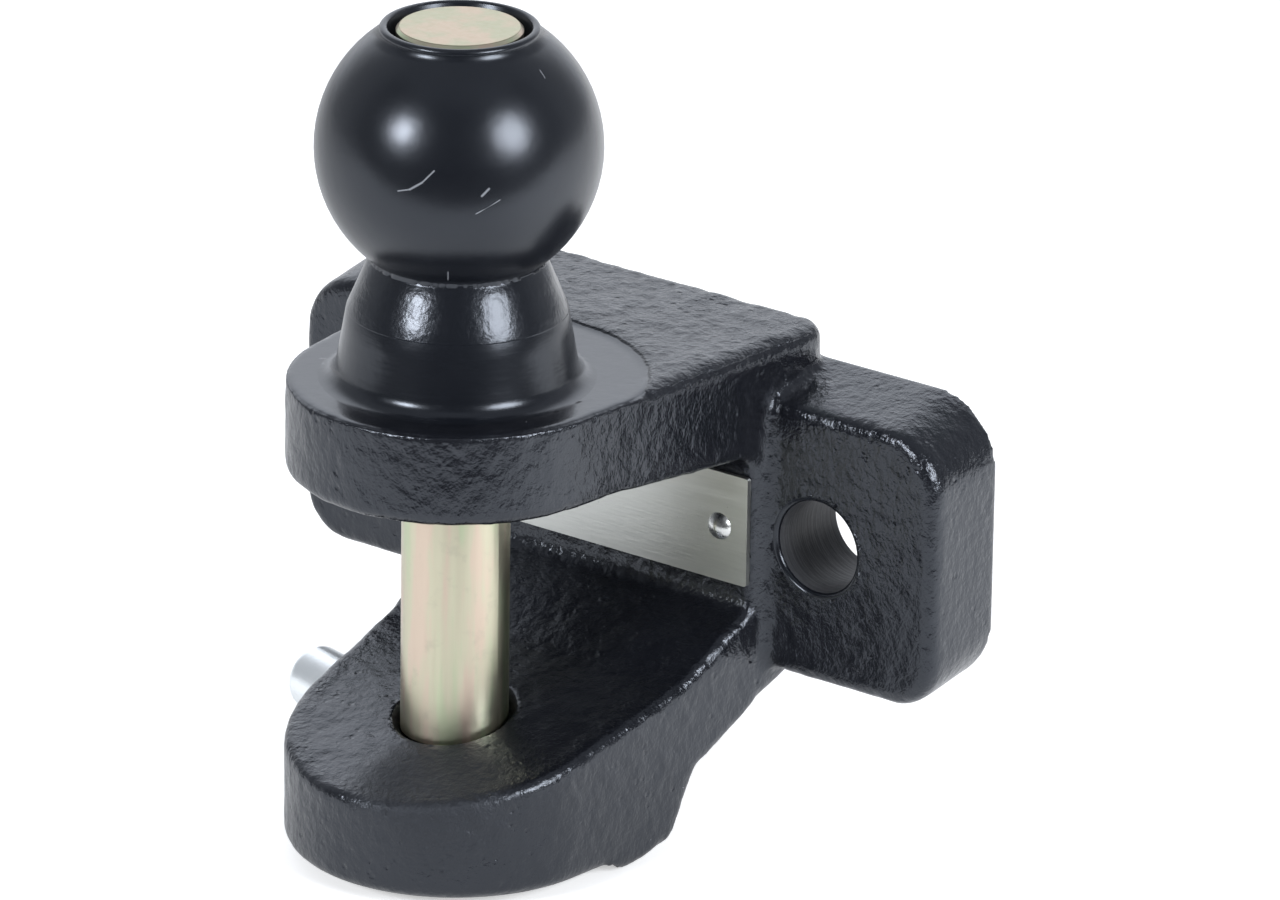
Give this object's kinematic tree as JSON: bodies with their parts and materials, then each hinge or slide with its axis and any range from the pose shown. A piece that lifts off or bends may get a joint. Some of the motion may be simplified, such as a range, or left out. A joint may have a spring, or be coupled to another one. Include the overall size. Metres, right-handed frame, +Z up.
{
  "type": "flange tow ball with drop pin jaw",
  "caption": "Cast two-bolt flange hitch with a tow ball on the upper jaw and a lift-out drop pin through ball and both jaws, held by a spring plunger.",
  "frame": {"origin": "middle of the two bolt holes, on the mounting face", "axes": "+Y out of the mounting face into the vehicle's drawbar, -Y the way the jaws reach, +Z up through the ball, +X across the flange"},
  "size_m": [0.1422, 0.092, 0.1525],
  "materials": {
    "black_casting": "semi-gloss black paint over a rough casting, smooth on the turned ball, neck and disc",
    "yellow_zinc": "turned steel, pale yellow zinc with faint pink and green",
    "turned_steel": "plain turned steel, lightly oiled",
    "spring_steel": "drawn spring wire",
    "bright_zinc": "bright zinc",
    "plate_metal": "brushed sheet",
    "rivet_metal": "domed drive rivet heads"
  },
  "bodies": {
    "hitch": {"jaw_casting": "black_casting", "plunger_gland": "turned_steel", "rating_plate": "plate_metal", "rating_plate_rivets": "rivet_metal", "plunger_spring": "spring_steel"},
    "drop_pin": {"hitch_pin": "yellow_zinc"},
    "retainer": {"plunger": "turned_steel", "plunger_knob": "bright_zinc"}
  },
  "joints": [
    {"name": "pin_lift", "type": "slide", "parent": "hitch", "child": "drop_pin", "axis": [0, 0, 1], "range_m": [0, 0.14]},
    {"name": "plunger_lock", "type": "slide", "parent": "hitch", "child": "retainer", "axis": [0.9659, -0.2588, 0], "range_m": [0, 0.003], "stiffness_N_per_m": 2000, "springref_m": 0.0045, "deforming": ["plunger_spring"]}
  ]
}
